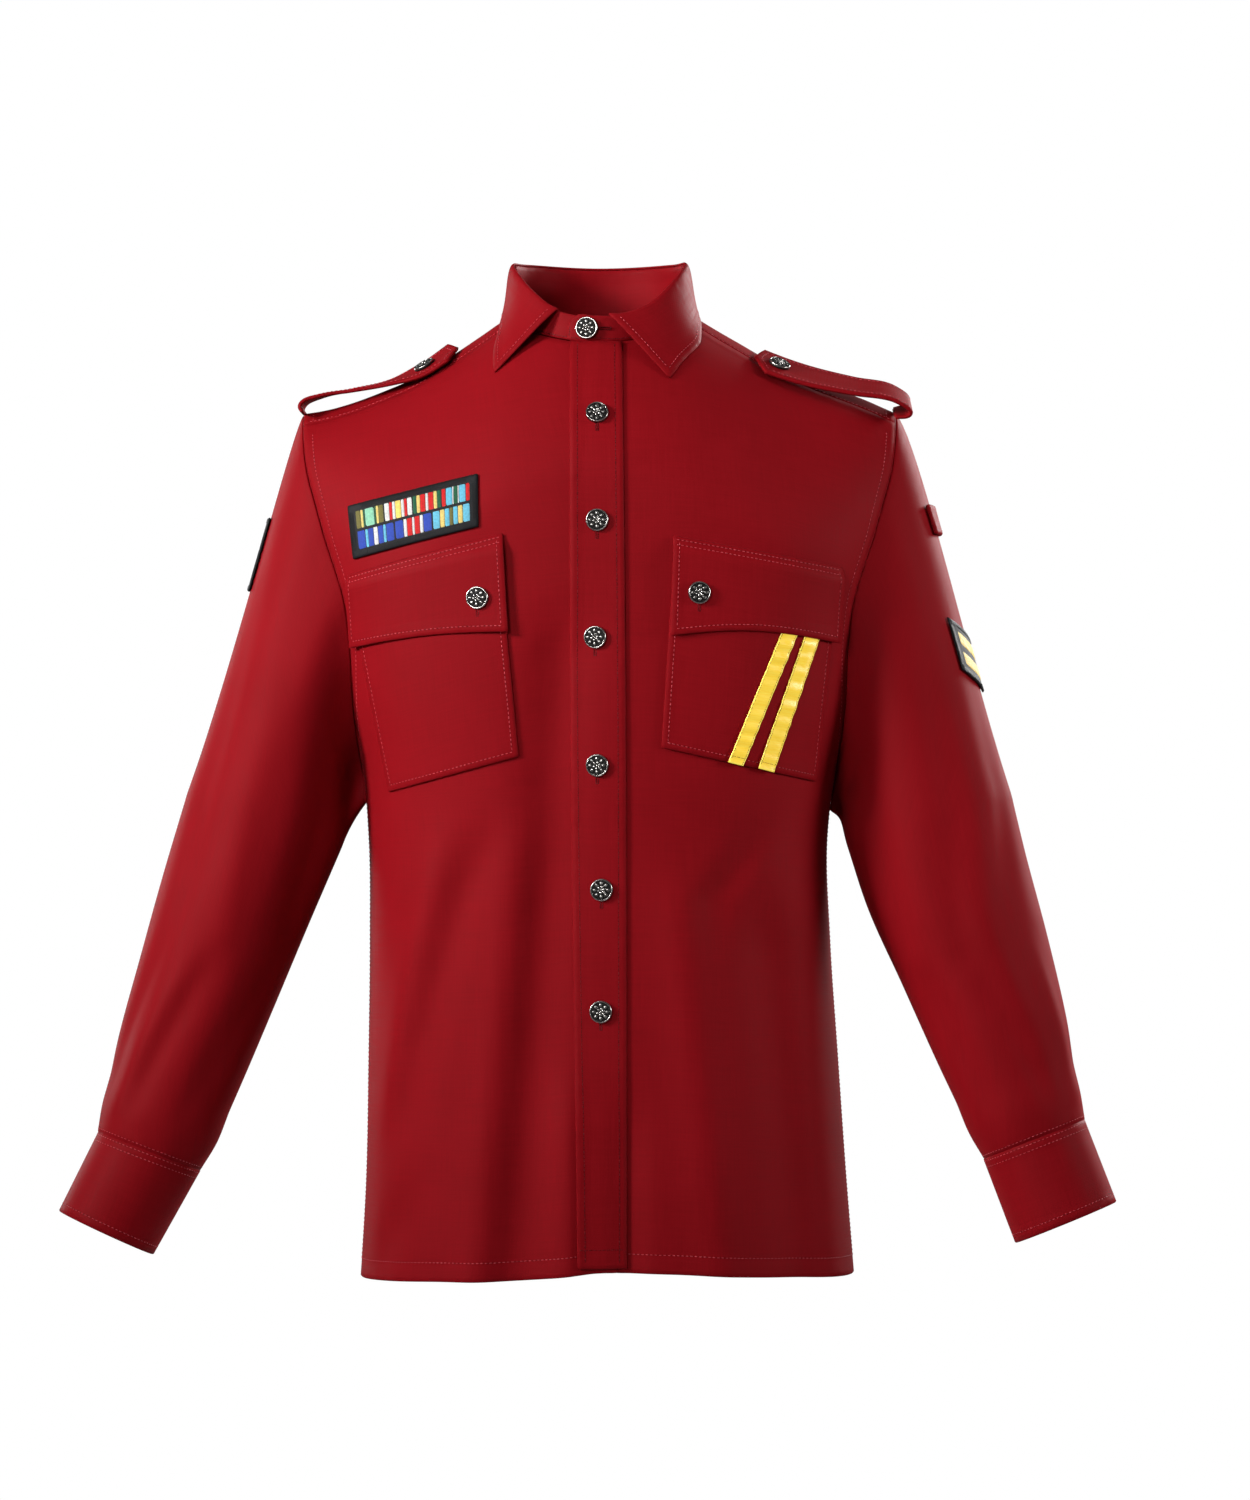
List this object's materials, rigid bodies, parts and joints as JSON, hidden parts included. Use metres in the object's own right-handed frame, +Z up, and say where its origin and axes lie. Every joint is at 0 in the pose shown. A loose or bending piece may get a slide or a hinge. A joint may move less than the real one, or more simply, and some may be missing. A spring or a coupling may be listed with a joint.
{
  "type": "uniform shirt",
  "caption": "Red long-sleeved uniform shirt in its worn shape, hollow, with collar, epaulettes, flap pockets, patches, satin stripes and metal shank buttons.",
  "frame": {"origin": "middle of the neck's base, on the body's centre line", "axes": "+Z up, front faces -Y, +X towards the wearer's left"},
  "size_m": [0.8169, 0.2561, 0.7978],
  "materials": {
    "cloth": "crimson plain-weave shirting, slight sheen",
    "patch": "black embroidered patch cloth with coloured thread",
    "satin": "gold satin ribbon",
    "metal": "antique silver, dark in the hollows"
  },
  "bodies": {
    "root": {"front_right": "cloth", "front_left": "cloth", "back": "cloth", "yoke": "cloth", "placket": "cloth", "collar_stand": "cloth", "collar_leaf": "cloth", "sleeve_right": "cloth", "cuff_right": "cloth", "pocket_right": "cloth", "flap_right": "cloth", "epaulette_right": "cloth", "sleeve_left": "cloth", "cuff_left": "cloth", "pocket_left": "cloth", "flap_left": "cloth", "epaulette_left": "cloth", "sleeve_tab": "cloth", "sleeve_patch": "patch", "chevron_patch": "patch", "ribbon_patch": "patch", "stripe_inner": "satin", "stripe_outer": "satin", "button_1": "metal", "button_2": "metal", "button_3": "metal", "button_4": "metal", "button_5": "metal", "button_6": "metal", "button_collar": "metal", "button_flap_right": "metal", "button_epaulette_right": "metal", "button_cuff_right": "metal", "button_flap_left": "metal", "button_epaulette_left": "metal", "button_cuff_left": "metal"}
  },
  "joints": []
}
